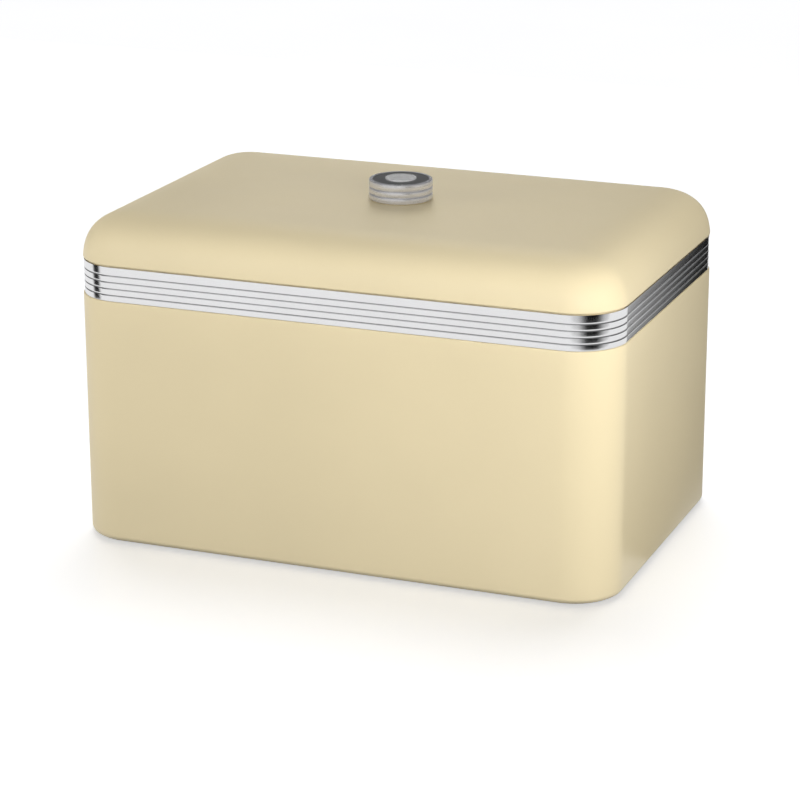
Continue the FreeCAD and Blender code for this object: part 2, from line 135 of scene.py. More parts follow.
def swept(name, profile, materials, body, closed=True, corner_steps=28, side_steps=10,
          shrink=None, caps=(), lift=None):
    """A profile of (offset outwards, z) points carried round the bin's rounded rectangle.

    shrink gives the corner radius at an offset, lift the extra height at a place, and caps the rings
    that a flat face closes."""
    verts = []
    count = 0
    for offset, z in profile:
        corner = shrink(offset) if shrink else CORNER_R + offset
        ring = rounded_outline(HALF_X + offset, HALF_Y + offset, corner, corner_steps, side_steps)
        count = len(ring)
        for p in ring:
            rise = lift(p.x, p.y) if lift else 0.0
            verts.append((p.x, p.y, z + rise))
    faces = bridge(count, len(profile), closed)
    for cap in caps:
        first = cap * count
        face = list(range(first, first + count))
        faces.append(tuple(face if cap else reversed(face)))
    return mesh_object(name, verts, faces, materials, body)


TURN_STEPS = 128
ON_AXIS = 1e-7                     # a smaller radius counts as a point on the axis


def turned(name, profile, materials, body):
    """A closed profile of (radius, z) points turned about the Z axis. Points on the axis are shared."""
    verts = []
    rings = []
    for radius, z in profile:
        if radius < ON_AXIS:
            rings.append([len(verts)] * TURN_STEPS)
            verts.append((0.0, 0.0, z))
            continue
        ring = []
        for step in range(TURN_STEPS):
            angle = 2 * math.pi * step / TURN_STEPS
            ring.append(len(verts))
            verts.append((radius * math.cos(angle), radius * math.sin(angle), z))
        rings.append(ring)
    faces = []
    for a, b in zip(rings, rings[1:] + rings[:1]):
        for i in range(TURN_STEPS):
            j = (i + 1) % TURN_STEPS
            face = []
            for index in (a[i], a[j], b[j], b[i]):
                if index not in face:
                    face.append(index)
            if len(face) > 2:
                faces.append(tuple(face))
    return mesh_object(name, verts, faces, materials, body)


def ease(share):
    """Smooth step from 0 to 1."""
    return share * share * (3 - 2 * share)


def bell(distance, width):
    """A smooth hump: 1 in its middle, and almost nothing beyond twice its width."""
    return math.exp(-((distance / width) ** 2))


def groove_dip(z, grooves, depth, width):
    """How far a face dips at a height, for smooth grooves at other heights."""
    return sum(depth * bell(z - groove, width) for groove in grooves)


# ---- Materials -----------------------------------------------------------------------------------------
class Look:
    """A material's node tree, with short calls for the nodes it needs."""

    def __init__(self, name):
        self.material = bpy.data.materials.new(name)
        self.material.use_nodes = True
        self.tree = self.material.node_tree
        self.shader = self.tree.nodes["Principled BSDF"]
        coords = self.tree.nodes.new("ShaderNodeTexCoord")
        self.object = coords.outputs["Object"]

    def node(self, kind, **values):
        """Adds a node and sets its properties."""
        made = self.tree.nodes.new(kind)
        for key, value in values.items():
            setattr(made, key, value)
        return made

    def link(self, source, target):
        self.tree.links.new(source, target)

    def stretched(self, x, y, z):
        """Object coordinates multiplied per axis."""
        mapping = self.node("ShaderNodeMapping")
        mapping.inputs["Scale"].default_value = (x, y, z)
        self.link(self.object, mapping.inputs["Vector"])
        return mapping.outputs["Vector"]

    def noise(self, scale, detail=3.0, rough=0.5, vector=None):
        made = self.node("ShaderNodeTexNoise")
        made.inputs["Scale"].default_value = scale
        made.inputs["Detail"].default_value = detail
        made.inputs["Roughness"].default_value = rough
        self.link(vector or self.object, made.inputs["Vector"])
        return made.outputs["Fac"]

    def spread(self, factor, low, high, start=0.3, end=0.7):
        """Maps a factor between start and end to values between low and high."""
        made = self.node("ShaderNodeMapRange")
        for key, value in (("From Min", start), ("From Max", end), ("To Min", low), ("To Max", high)):
            made.inputs[key].default_value = value
        self.link(factor, made.inputs["Value"])
        return made.outputs["Result"]

    def tint(self, factor, dark, light):
        """A colour between two, by a factor."""
        made = self.node("ShaderNodeMix", data_type="RGBA")
        made.inputs["A"].default_value = (*dark, 1)
        made.inputs["B"].default_value = (*light, 1)
        self.link(factor, made.inputs["Factor"])
        return made.outputs["Result"]

    def bump(self, height, strength, distance, below=None):
        made = self.node("ShaderNodeBump")
        made.inputs["Strength"].default_value = strength
        made.inputs["Distance"].default_value = distance
        self.link(height, made.inputs["Height"])
        if below:
            self.link(below, made.inputs["Normal"])
        return made.outputs["Normal"]

    def set(self, **values):
        """Sets the shader's own sockets to a number or a colour, or links them."""
        for key, value in values.items():
            socket = self.shader.inputs[key.replace("_", " ")]
            if isinstance(value, bpy.types.NodeSocket):
                self.link(value, socket)
            else:
                socket.default_value = value
        return self


def scaled(colour, share):
    """A colour times a share, kept within 1."""
    return [min(1.0, c * share) for c in colour]


def paint(name, colour, gloss=0.38):
    """Stoved powder coat: faint mottling, a fine orange-peel skin and a slightly uneven gloss."""
    look = Look(name)
    mottle = look.spread(look.noise(scale=9.0, detail=2.0), 0.0, 1.0)
    peel = look.bump(look.noise(scale=420.0, detail=2.0, rough=0.4), strength=0.10, distance=0.12 * MM)
    waves = look.noise(scale=38.0, detail=1.0, rough=0.3)
    skin = look.bump(waves, strength=0.06, distance=0.4 * MM, below=peel)
    smear = look.spread(look.noise(scale=24.0), gloss - 0.025, gloss + 0.03)
    look.set(Base_Color=look.tint(mottle, scaled(colour, 0.975), scaled(colour, 1.02)))
    look.set(Roughness=smear, Normal=skin, IOR=1.42, Metallic=0.0)
    return look.material


def drawn_metal(name, colour, gloss, grain_scale, metallic=1.0):
    """Plated metal: fine drawn lines along the strip, and a gloss that wanders a little."""
    look = Look(name)
    lines = look.noise(scale=1.0, detail=4.0, rough=0.6, vector=look.stretched(*grain_scale))
    cloud = look.spread(look.noise(scale=30.0), 0.0, 1.0)
    look.set(Base_Color=look.tint(cloud, scaled(colour, 0.97), colour), Metallic=metallic)
    look.set(Roughness=look.spread(lines, gloss - 0.02, gloss + 0.03))
    look.set(Normal=look.bump(lines, strength=0.05, distance=0.03 * MM))
    return look.material


def plain_metal(name, colour, gloss):
    """Small hardware: machined or plated metal with a fine random grain."""
    look = Look(name)
    grain = look.noise(scale=160.0, detail=4.0, rough=0.6)
    tone = look.tint(look.spread(grain, 0.0, 1.0), scaled(colour, 0.9), colour)
    look.set(Base_Color=tone, Metallic=1.0)
    look.set(Roughness=look.spread(grain, gloss - 0.05, gloss + 0.07))
    look.set(Normal=look.bump(grain, strength=0.12, distance=0.05 * MM))
    return look.material


def soft_plastic(name, colour, gloss):
    """Rubber or soft plastic: fine moulded grain with a little bloom."""
    look = Look(name)
    grain = look.noise(scale=300.0, rough=0.55)
    bloom = look.spread(look.noise(scale=60.0, detail=2.0), 0.0, 1.0)
    look.set(Base_Color=look.tint(bloom, colour, [min(1.0, c * 1.2 + 0.01) for c in colour]))
    look.set(Roughness=look.spread(grain, gloss - 0.06, gloss + 0.06))
    look.set(Normal=look.bump(grain, strength=0.2, distance=0.1 * MM))
    return look.material


def spun_metal(name, colour, gloss, metallic=1.0):
    """Face turned on a lathe: fine rings about the upright axis."""
    look = Look(name)
    split = look.node("ShaderNodeSeparateXYZ")
    look.link(look.object, split.inputs["Vector"])
    flat = look.node("ShaderNodeCombineXYZ")
    look.link(split.outputs["X"], flat.inputs["X"])
    look.link(split.outputs["Y"], flat.inputs["Y"])
    length = look.node("ShaderNodeVectorMath", operation="LENGTH")
    look.link(flat.outputs["Vector"], length.inputs[0])
    radial = look.node("ShaderNodeCombineXYZ")
    look.link(length.outputs["Value"], radial.inputs["X"])
    rings = look.noise(scale=3800.0, rough=0.6, vector=radial.outputs["Vector"])
    tone = look.tint(look.spread(rings, 0.0, 1.0), scaled(colour, 0.85), colour)
    look.set(Base_Color=tone, Metallic=metallic)
    look.set(Roughness=look.spread(rings, gloss - 0.04, gloss + 0.06))
    look.set(Normal=look.bump(rings, strength=0.25, distance=0.03 * MM))
    return look.material


CREAM = (0.80, 0.685, 0.44)
cream_paint = paint("cream_paint_look", CREAM)
pan_paint = paint("pan_paint_look", CREAM, 0.42)
band_chrome = drawn_metal("band_chrome_look", (0.93, 0.93, 0.94), 0.13, (14, 14, 5200))
# darker metal for the bottoms of the band's grooves: painted shade, standing in for the shadow in those
# narrow grooves
groove_shade_metal = drawn_metal("groove_painted_shade_look", (0.40, 0.40, 0.41), 0.30, (14, 14, 5200))
clip_chrome = drawn_metal("clip_chrome_look", (0.88, 0.88, 0.89), 0.16, (60, 60, 4200))
knob_chrome = drawn_metal("knob_chrome_look", (0.70, 0.70, 0.73), 0.28, (60, 60, 5200), metallic=0.72)
knob_face = spun_metal("knob_face_look", (0.43, 0.43, 0.44), 0.34)
badge_metal = spun_metal("medallion_look", (0.88, 0.88, 0.88), 0.34, 0.50)
steel = plain_metal("zinc_plated_steel_look", (0.62, 0.63, 0.65), 0.34)
brass = plain_metal("brass_look", (0.72, 0.55, 0.27), 0.30)
rivet_metal = plain_metal("rivet_look", (0.72, 0.72, 0.73), 0.30)
rubber = soft_plastic("foot_rubber_look", (0.022, 0.022, 0.023), 0.72)
gasket_rubber = soft_plastic("gasket_rubber_look", (0.33, 0.28, 0.19), 0.6)
pad_plastic = soft_plastic("pad_plastic_look", (0.62, 0.61, 0.58), 0.45)


def dress(node, material):
    """Gives a CAD node that keeps its shape a better material."""
    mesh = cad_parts[node].data
    if not mesh.materials:
        mesh.materials.append(material)
    for index in range(len(mesh.materials)):
        mesh.materials[index] = material


# ---- Box -----------------------------------------------------------------------------------------------
def wall_profile():
    """The painted sheet's section: turned-in lip, rounded foot, shoulder, neck and curled rim, then back."""
    foot_r, lip = 4.5 * MM, 9.0 * MM
    shoulder_r, neck, bead_r = 0.9 * MM, 2.0 * MM, 1.6 * MM
    levels = 12
    z0 = WALL_LOW.z
    rise = BAND_BOTTOM - z0
    foot = (-foot_r, z0 + foot_r)
    shoulder = (-shoulder_r, BAND_BOTTOM - shoulder_r)
    bead = (-neck - bead_r, RIM_TOP - bead_r)
    outside = [(-lip, z0)] + arc(foot, foot_r, -90, 0, 10)
    outside += [(0, z0 + rise * k / levels) for k in range(1, levels)]
    outside += arc(shoulder, shoulder_r, 0, 90, 8)
    outside += [(-neck, BAND_BOTTOM)]
    outside += arc(bead, bead_r, 0, 270, 24)
    inside = arc(bead, bead_r - SHEET, 270, 0, 24)
    inside += [(-neck - SHEET, BAND_BOTTOM - SHEET)]
    inside += arc(shoulder, shoulder_r - SHEET, 90, 0, 6)
    inside += [(-SHEET, z0 + rise * k / levels) for k in range(levels - 1, 0, -1)]
    inside += arc(foot, foot_r - SHEET, 0, -90, 10)
    inside += [(-lip, z0 + SHEET)]
    return outside + inside


wall = swept("painted_wall", wall_profile(), [cream_paint], "bin_body", side_steps=16)
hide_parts("body_wall")


# ---- Band ----------------------------------------------------------------------------------------------
RIB_COUNT = 5
RIB_PITCH = 4.42 * MM
BAND_RECESS = WALL_HIGH.x - BAND_HIGH.x      # as the CAD band lies, so its clip and rivets stand on it
BAND_GAP = 0.25 * MM         # shadow line between the band and the wall's shoulder
RIB_CROWN = 0.06 * MM
CROWN_POWER = 2.4            # higher leaves a rib flatter in its middle
GROOVE_DEPTH = 0.30 * MM
GROOVE_WIDTH = 0.36 * MM
GROOVE_SHADE_SHARE = 0.35        # faces deeper than this share of a groove get the darker metal, as painted shade
RIB_STEPS = 22
TOP_EASE = 0.12 * MM         # the band's top edge leans in by this much
STRIP = 0.4 * MM


def band_profile():
    """Strip with convex ribs parted by narrow rolled grooves; the topmost rib is the tallest."""
    borders = [BAND_BOTTOM + RIB_PITCH * rib for rib in range(RIB_COUNT)] + [BAND_TOP]
    borders[0] += BAND_GAP
    face = []
    for low, high in zip(borders, borders[1:]):
        middle, reach = (low + high) / 2, (high - low) / 2
        for step in range(RIB_STEPS):
            # the points are closer near the grooves, where the strip bends most
            across = -1 + 2 * step / RIB_STEPS
            z = middle + reach * math.sin(across * math.pi / 2)
            dip = groove_dip(z, borders[1:-1], GROOVE_DEPTH, GROOVE_WIDTH)
            crown = RIB_CROWN * abs((z - middle) / reach) ** CROWN_POWER
            face.append((-BAND_RECESS - crown - dip, z))
    face.append((-BAND_RECESS - RIB_CROWN - TOP_EASE, BAND_TOP))
    back = [(offset - STRIP, z) for offset, z in reversed(face)]
    return face + back


def shade_grooves(piece, profile):
    """Gives the bottoms of the grooves, outside only, the darker metal in the piece's second slot: painted
    shade in the grooves.
    """
    ring = len(piece.data.vertices) // len(profile)
    outside = len(profile) // 2
    limit = -BAND_RECESS - RIB_CROWN - GROOVE_SHADE_SHARE * GROOVE_DEPTH
    for face in piece.data.polygons:
        levels = [index // ring for index in face.vertices]
        if max(levels) < outside - 1 and max(profile[level][0] for level in levels) < limit:
            face.material_index = 1


band_section = band_profile()
band = swept("ribbed_band", band_section, [band_chrome, groove_shade_metal], "bin_body",
             corner_steps=40, side_steps=6)
# painted shade: the deepest faces of each groove get the darker metal
shade_grooves(band, band_section)
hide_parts("trim_band")


# ---- Floor of the box ----------------------------------------------------------------------------------
PAN_STEP = 4.7 * MM          # the floor stands this far above the pan's flange
PANEL_RISE = 1.5 * MM        # and its stiffening panel this far above the floor
PANEL_SLOPE = 2.5 * MM       # width of the slope round that panel
BEND_STEPS = 8
SLOPE_STEPS = 6


def pan_rim():
    """(offset, z) points of the pan's top side from the flange's edge, up the step, to the floor."""
    flange_out, step_foot, step_head, floor_in = 5.2 * MM, 10.0 * MM, 14.0 * MM, 33 * MM
    z = PAN_LOW.z + SHEET
    points = [(-flange_out, z), (-step_foot, z)]
    for k in range(1, BEND_STEPS + 1):
        share = k / BEND_STEPS
        points.append((-step_foot - (step_head - step_foot) * share, z + PAN_STEP * ease(share)))
    points.append((-floor_in, z + PAN_STEP))
    return points


def build_pan():
    """Pressed floor: flange, step and raised panel, as one sheet with soft bends."""
    corner_steps, side_steps = 20, 12
    panel_x, panel_y, panel_r = HALF_X - 46 * MM, HALF_Y - 36 * MM, 18 * MM
    panel_middle = -17 * MM
    floor_top = PAN_LOW.z + PAN_STEP + SHEET
    slope = [(-PANEL_SLOPE * k / SLOPE_STEPS, floor_top + PANEL_RISE * ease(k / SLOPE_STEPS))
             for k in range(SLOPE_STEPS + 1)]
    slope.append((panel_middle, floor_top + PANEL_RISE))

    rim = pan_rim()
    rings = [(HALF_X, HALF_Y, CORNER_R, offset, z) for offset, z in rim]
    rings += [(panel_x, panel_y, panel_r, offset, z) for offset, z in slope]
    under = [(half_x, half_y, radius, offset, z - SHEET) for half_x, half_y, radius, offset, z in rings]
    rings += reversed(under)

    verts = []
    for half_x, half_y, radius, offset, z in rings:
        ring = rounded_outline(half_x + offset, half_y + offset, radius + offset, corner_steps, side_steps)
        count = len(ring)
        verts.extend((p.x, p.y, z) for p in ring)

    # the innermost rings, above and below, are filled with one face each and not joined to each other
    top_middle = len(under) - 1
    faces = [face for face in bridge(count, len(rings), True)
             if (face[0] // count, face[2] // count) != (top_middle, top_middle + 1)]
    faces.append(tuple(range(top_middle * count, (top_middle + 1) * count)))
    faces.append(tuple(reversed(range((top_middle + 1) * count, (top_middle + 2) * count))))
    return mesh_object("pressed_floor", verts, faces, [pan_paint], "bin_body")


pan = build_pan()
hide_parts("base_pan")

for place in ("front_left", "front_right", "rear_left", "rear_right"):
    dress("foot_" + place, rubber)
    dress("lid_pad_" + place, pad_plastic)
dress("trim_joint_clip", clip_chrome)
dress("trim_rivets", rivet_metal)


# ---- Lid -----------------------------------------------------------------------------------------------
ROLL_WIDTH = 46.1 * MM       # how far in from the edge the lid is still rising
ROLL_POWER = 2.87            # fullness of that curve; 2 would be an ellipse
ROLL_START = LID_EDGE - 7.95 * MM      # where that curve would stand upright, below the hem
LID_CROWN = 0.4 * MM
HEM_R = 1.2 * MM
HEM_HEIGHT = 6.0 * MM
ROLL_STEPS = 44
TOP_RINGS = 8                # rings on the flat top inside the curve
TOP_RING_GAP = 9 * MM


def lid_corner(offset):
    """Plan radius of the lid's corners: it shrinks inwards a little slower than the offset grows."""
    share = 0.88
    softness = 5 * MM                # eases the radius out before it would pass through nothing
    plain = CORNER_R + share * offset
    return 0.5 * (plain + math.sqrt(plain * plain + softness * softness))


def roll_height(inset):
    """Height of the lid's outside at a distance in from its edge."""
    rise = LID_TOP - LID_CROWN - ROLL_START
    left = max(0.0, (ROLL_WIDTH - inset) / ROLL_WIDTH)
    return ROLL_START + rise * (1 - left ** ROLL_POWER) ** (1 / ROLL_POWER)


def roll_inset(height):
    """The distance in from the edge at which the outside has a height."""
    rise = LID_TOP - LID_CROWN - ROLL_START
    share = (height - ROLL_START) / rise
    return ROLL_WIDTH * (1 - (1 - share ** ROLL_POWER) ** (1 / ROLL_POWER))


def lid_crown(x, y):
    """Extra height of the lid at a place: most in its middle, none at its edges."""
    return LID_CROWN * (1 - (x / HALF_X) ** 2) * (1 - (y / HALF_Y) ** 2)


def lid_profile():
    """The lid's section from the middle of its underside, round the hem, to the middle of its top."""
    hem_z = LID_EDGE + HEM_R
    start = roll_inset(hem_z)
    roll_top = roll_height(ROLL_WIDTH)
    outer = []
    for k in range(ROLL_STEPS + 1):
        z = hem_z + (roll_top - hem_z) * math.sin(math.pi / 2 * k / ROLL_STEPS)
        outer.append((-roll_inset(min(z, roll_top)), z))
    normals = []
    for k in range(ROLL_STEPS + 1):
        before, after = outer[max(k - 1, 0)], outer[min(k + 1, ROLL_STEPS)]
        along = Vector((after[0] - before[0], after[1] - before[1])).normalized()
        normals.append(Vector((-along.y, along.x)))
    inner = [(o + n.x * SHEET, z + n.y * SHEET) for (o, z), n in zip(outer, normals)]
    hem = (-start - HEM_R, hem_z)
    flat = [(-ROLL_WIDTH - k * TOP_RING_GAP, outer[-1][1]) for k in range(1, TOP_RINGS + 1)]
    under = [(o, inner[-1][1]) for o, _ in flat]
    fold = arc(hem, HEM_R - SHEET, 0, -180, 12)
    fold += [(hem[0] - HEM_R + SHEET, LID_EDGE + HEM_HEIGHT), (hem[0] - HEM_R, LID_EDGE + HEM_HEIGHT)]
    fold += arc(hem, HEM_R, 180, 360, 16)
    return list(reversed(under)) + list(reversed(inner[1:])) + fold + outer[1:] + flat


lid_section = lid_profile()
lid = swept("domed_lid", lid_section, [cream_paint], "lid", closed=False, shrink=lid_corner, lift=lid_crown,
            caps=(0, len(lid_section) - 1), corner_steps=32, side_steps=28)
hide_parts("lid_shell")


def flange_profile():
    """Strip inside the hem: weld leg, shelf on the rim, and the leg that centres the lid in the neck."""
    weld = -2 * HEM_R - 0.14 * MM
    weld_in = weld - SHEET
    weld_top = LID_EDGE + HEM_HEIGHT - MM
    shelf = LID_EDGE + 0.9 * MM
    leg = -6.2 * MM
    leg_in = leg - SHEET
    low = FLANGE_LOW.z
    bend = 0.3 * MM
    tip_in, tip_up = 0.8 * MM, MM          # the leg's lead-in, which finds the neck
    return [
        (weld, shelf + bend), (weld, weld_top), (weld_in, weld_top), (weld_in, shelf + SHEET),
        (leg_in + bend, shelf + SHEET), (leg_in, shelf + SHEET - bend), (leg_in, low + tip_up),
        (leg_in - tip_in, low), (leg - tip_in, low), (leg, low + tip_up), (leg, shelf), (weld - bend, shelf),
    ]


flange = swept("lid_flange", flange_profile(), [pan_paint], "lid", side_steps=4)
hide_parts("lid_locating_flange")


# ---- Knob ----------------------------------------------------------------------------------------------
KNOB_GROOVES = (4.1 * MM, 8.4 * MM)      # heights above the knob's foot
KNOB_STEPS = 20
BROW_R = 0.9 * MM
BROW_STEPS = 8
STUD_R = 1.5 * MM


def knob_side():
    """(radius, z) points up the ribbed side, as far as the brow."""
    base, top, out_r = KNOB_LOW.z, KNOB_HIGH.z, KNOB_HIGH.x
    bulge, depth, width = 0.34 * MM, 0.30 * MM, 0.40 * MM
    nothing = 0.001 * MM
    borders = [base] + [base + groove for groove in KNOB_GROOVES] + [top]
    side = []
    for low, high in zip(borders, borders[1:]):
        middle, reach = (low + high) / 2, (high - low) / 2
        for step in range(KNOB_STEPS + 1):
            z = middle + reach * math.sin((-1 + 2 * step / KNOB_STEPS) * math.pi / 2)
            if z > top - BROW_R + nothing:
                continue
            dip = groove_dip(z, borders[1:-1], depth, width)
            radius = out_r - bulge * ((z - middle) / reach) ** 2 - dip
            if not side or z - side[-1][1] > nothing:
                side.append((radius, z))
    return side


def knob_profile():
    """Ribbed side, rounded brow and shallow recess; open underneath round a boss."""
    base, top, out_r = KNOB_LOW.z, KNOB_HIGH.z, KNOB_HIGH.x
    side = knob_side()
    brow = (side[-1][0] - BROW_R, top - BROW_R)
    edge = arc(brow, BROW_R, 0, 90, BROW_STEPS)[1:]
    face_r = DISC_HIGH.x + 0.05 * MM
    chamfer = 0.25 * MM
    recess = DISC_LOW.z
    boss, insert, insert_top = 6.5 * MM, 3.5 * MM, base + 8.5 * MM
    ceiling = recess - 2 * MM
    pocket = ceiling + 0.5 * MM            # floor of the medallion stud's hole
    wall_r = out_r - 2.6 * MM
    hollow = [
        (face_r, top), (face_r - chamfer, top - chamfer), (face_r - chamfer, recess), (STUD_R, recess),
        (STUD_R, pocket), (0, pocket), (0, insert_top), (insert, insert_top), (insert, base), (boss, base),
        (boss, ceiling), (wall_r, ceiling), (wall_r, base),
    ]
    return side + edge + hollow


knob = turned("ribbed_knob", knob_profile(), [knob_chrome], "lid")
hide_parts("knob_shell")


def disc_profile():
    """Thin disc with a slightly convex face, bored for the medallion's stud."""
    low, top = DISC_LOW.z, DISC_HIGH.z
    rim = DISC_HIGH.x - 0.25 * MM
    shoulder = DISC_HIGH.x - 0.45 * MM
    badge = BADGE_HIGH.x + 0.4 * MM
    crown, crown_base, steps = 0.30 * MM, 0.6, 10
    points = [(STUD_R, low), (rim, low), (rim, top - 0.2 * MM), (shoulder, top)]
    for k in range(1, steps + 1):
        share = k / steps
        rise = crown * (math.sin(math.pi / 2 * share) - crown_base)
        points.append((shoulder + (badge - shoulder) * share, top + rise))
    points.append((STUD_R, top + crown * (1 - crown_base)))
    return points


disc = turned("knob_disc", disc_profile(), [knob_face], "lid")
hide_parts("knob_face_disc")


def badge_profile():
    """Plain medallion: raised rounded rim, dished field, one low ring and a small button."""
    r, top = BADGE_HIGH.x, BADGE_HIGH.z
    base = DISC_HIGH.z - 0.05 * MM
    edge, edge_steps = 0.45 * MM, 6
    points = [(0, BADGE_LOW.z), (STUD_R, BADGE_LOW.z), (STUD_R, base), (r, base)]
    points += arc((r - edge, top - edge), edge, 0, 90, edge_steps)
    # inner side of the rim, down to the field
    points += [(r - 1.1 * MM, top - 0.02 * MM), (r - 1.35 * MM, top - 0.12 * MM),
               (r - 1.65 * MM, top - 0.36 * MM)]
    field, field_r, steps = top - 0.45 * MM, r - 1.9 * MM, 40
    ring_rise, ring_mid, ring_half = 0.2 * MM, 5.1 * MM, 0.55 * MM
    button_rise, button_r = 0.42 * MM, 2.1 * MM
    for k in range(steps + 1):
        radius = field_r * (1 - k / steps)
        ring = ring_rise * bell(radius - ring_mid, ring_half)
        button = button_rise * bell(radius, button_r)
        points.append((radius, field + ring + button))
    return points


badge = turned("knob_badge", badge_profile(), [badge_metal], "lid")
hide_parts("knob_medallion")

dress("knob_gasket", gasket_rubber)
dress("knob_insert", brass)
for name in ("knob_flat_washer", "knob_lock_washer", "knob_screw"):
    dress(name, steel)


# ---- Studio --------------------------------------------------------------------------------------------
# All of it stands outside the bin. The floor is three sheets: the camera sees one, the bin gets its soft
# bounce from one, and reflections see one. The cards and flags show only in reflections. Their places were
# chosen for the dark streaks that the photograph shows on the band.
def stage_plane(name, corners, material, seen_by):
    """Flat stage piece that only some kinds of ray can see."""
    mesh = bpy.data.meshes.new(name)
    mesh.from_pydata(corners, [], [tuple(range(len(corners)))])
    mesh.materials.append(material)
    plane = bpy.data.objects.new(name, mesh)
    bpy.context.scene.collection.objects.link(plane)
    plane.visible_camera = "camera" in seen_by
    plane.visible_diffuse = "diffuse" in seen_by
    plane.visible_glossy = "glossy" in seen_by
    plane.visible_shadow = "shadow" in seen_by
    plane.visible_transmission = False
    return plane


def stage_look(name, colour, rough, glow):
    """Stage surface with a slow cloud of tone, and a glow of its own."""
    look = Look(name)
    cloud = look.spread(look.noise(scale=1.2, detail=2.0), 0.0, 1.0)
    look.set(Base_Color=look.tint(cloud, scaled(colour, 0.98), colour))
    look.set(Roughness=look.spread(look.noise(scale=3.0, detail=2.0), rough - 0.02, rough + 0.02))
    look.set(IOR=1.3, Emission_Color=(1, 1, 1, 1), Emission_Strength=glow)
    return look


def square(reach, z):
    """Corners of a level square round the bin's middle."""
    return [(-reach, -reach, z), (reach, -reach, z), (reach, reach, z), (-reach, reach, z)]


BLACK = (0, 0, 0)
MATT = 0.9                   # roughness
FLOOR_REACH = 40.0           # its far edge shows only in views from lower than about 9 degrees
FLOOR_WHITE = (0.86, 0.865, 0.89)
FLOOR_ROUGH = 0.3
FLOOR_GLOW = 0.55
BOUNCE_REACH = 9.0
BOUNCE_GREY = (0.07, 0.07, 0.07)
REFLECTOR_GLOW = 0.85

floor_look = stage_look("studio_floor_look", FLOOR_WHITE, FLOOR_ROUGH, FLOOR_GLOW)
floor = stage_plane("studio_floor", square(FLOOR_REACH, 0), floor_look.material, ("camera",))
bounce_look = stage_look("bounce_floor_look", BOUNCE_GREY, MATT, 0.0)
stage_plane("bounce_floor", square(BOUNCE_REACH, -MM), bounce_look.material, ("diffuse", "shadow"))
reflector_look = stage_look("reflector_floor_look", BLACK, MATT, REFLECTOR_GLOW)
stage_plane("reflector_floor", square(BOUNCE_REACH, -2 * MM), reflector_look.material, ("glossy",))


def card(name, centre, facing, width, height, stops):
    """Upright card that shows only in reflections. Its glow follows stops of (share of width, strength)."""
    look = stage_look(name + "_look", BLACK, MATT, 1.0)
    angle = math.radians(facing)
    side = Vector((math.cos(angle), math.sin(angle), 0))
    middle = Vector(centre)
    low = middle - side * width / 2
    high = middle + side * width / 2
    corners = [tuple(low), tuple(high), (high.x, high.y, high.z + height), (low.x, low.y, low.z + height)]
    offset = look.node("ShaderNodeVectorMath", operation="SUBTRACT")
    offset.inputs[1].default_value = low
    look.link(look.object, offset.inputs[0])
    along = look.node("ShaderNodeVectorMath", operation="DOT_PRODUCT")
    along.inputs[1].default_value = side / width
    look.link(offset.outputs["Vector"], along.inputs[0])
    ramp = look.node("ShaderNodeValToRGB")
    ramp.color_ramp.interpolation = "EASE"
    elements = ramp.color_ramp.elements
    while len(elements) < len(stops):
        elements.new(0.5)
    for element, (share, glow) in zip(elements, stops):
        element.position = share
        element.color = (glow, glow, glow, 1)
    look.link(along.outputs["Value"], ramp.inputs["Fac"])
    look.set(Emission_Color=ramp.outputs["Color"])
    stage_plane(name, corners, look.material, ("glossy",))


def light_group(name, members, state):
    """Collection that says which objects a lamp lights (INCLUDE) or leaves alone (EXCLUDE)."""
    group = bpy.data.collections.new(name)
    for member in members:
        group.objects.link(member)
    for entry in group.collection_objects:
        entry.light_linking.link_state = state
    return group


only_floor = light_group("only_floor", [floor], "INCLUDE")
all_but_floor = light_group("all_but_floor", [floor], "EXCLUDE")

MIDDLE = (0.0, 0.0, 0.12)
RIGHT_CORNER = (0.16, -0.10, 0.15)
LEFT_CORNER = (-0.18, -0.10, 0.14)
FRONT_ROLL = (0, -0.12, 0.20)
RIGHT_ROLL = (0.18, -0.05, 0.18)
LID_MIDDLE = (0, 0, 0.2)


def area_light(name, place, target, width, height, watts):
    """Soft rectangular lamp that lights the bin and not the camera's floor. It shows neither to the camera
    nor in reflections."""
    data = bpy.data.lights.new(name, "AREA")
    data.shape = "RECTANGLE"
    data.size = width
    data.size_y = height
    data.energy = watts
    lamp = bpy.data.objects.new(name, data)
    lamp.location = place
    lamp.rotation_euler = (Vector(target) - Vector(place)).to_track_quat("-Z", "Y").to_euler()
    lamp.visible_camera = False
    lamp.visible_glossy = False
    lamp.light_linking.receiver_collection = all_but_floor
    bpy.context.scene.collection.objects.link(lamp)


def polar(azimuth, elevation, distance):
    """A place seen from the bin's middle; azimuth 0 is the front, 90 the right."""
    a, e = math.radians(azimuth), math.radians(elevation)
    flat = distance * math.cos(e)
    x, y, z = MIDDLE
    return (x + flat * math.sin(a), y - flat * math.cos(a), z + distance * math.sin(e))


def world_look(strength):
    """Even white light from all round."""
    world = bpy.data.worlds.new("studio")
    bpy.context.scene.world = world
    world.use_nodes = True
    background = world.node_tree.nodes["Background"]
    background.inputs["Color"].default_value = (1, 1, 1, 1)
    background.inputs["Strength"].default_value = strength


def floor_sun(energy, azimuth, elevation, spread):
    """Wide soft sun for the floor alone; it lays the bin's fading shadow towards the front."""
    data = bpy.data.lights.new("floor_sun", "SUN")
    data.energy = energy
    data.angle = math.radians(spread)
    lamp = bpy.data.objects.new("floor_sun", data)
    lamp.location = polar(azimuth, elevation, 3.0)
    lamp.rotation_euler = (Vector(MIDDLE) - lamp.location).to_track_quat("-Z", "Y").to_euler()
    lamp.light_linking.receiver_collection = only_floor
    bpy.context.scene.collection.objects.link(lamp)
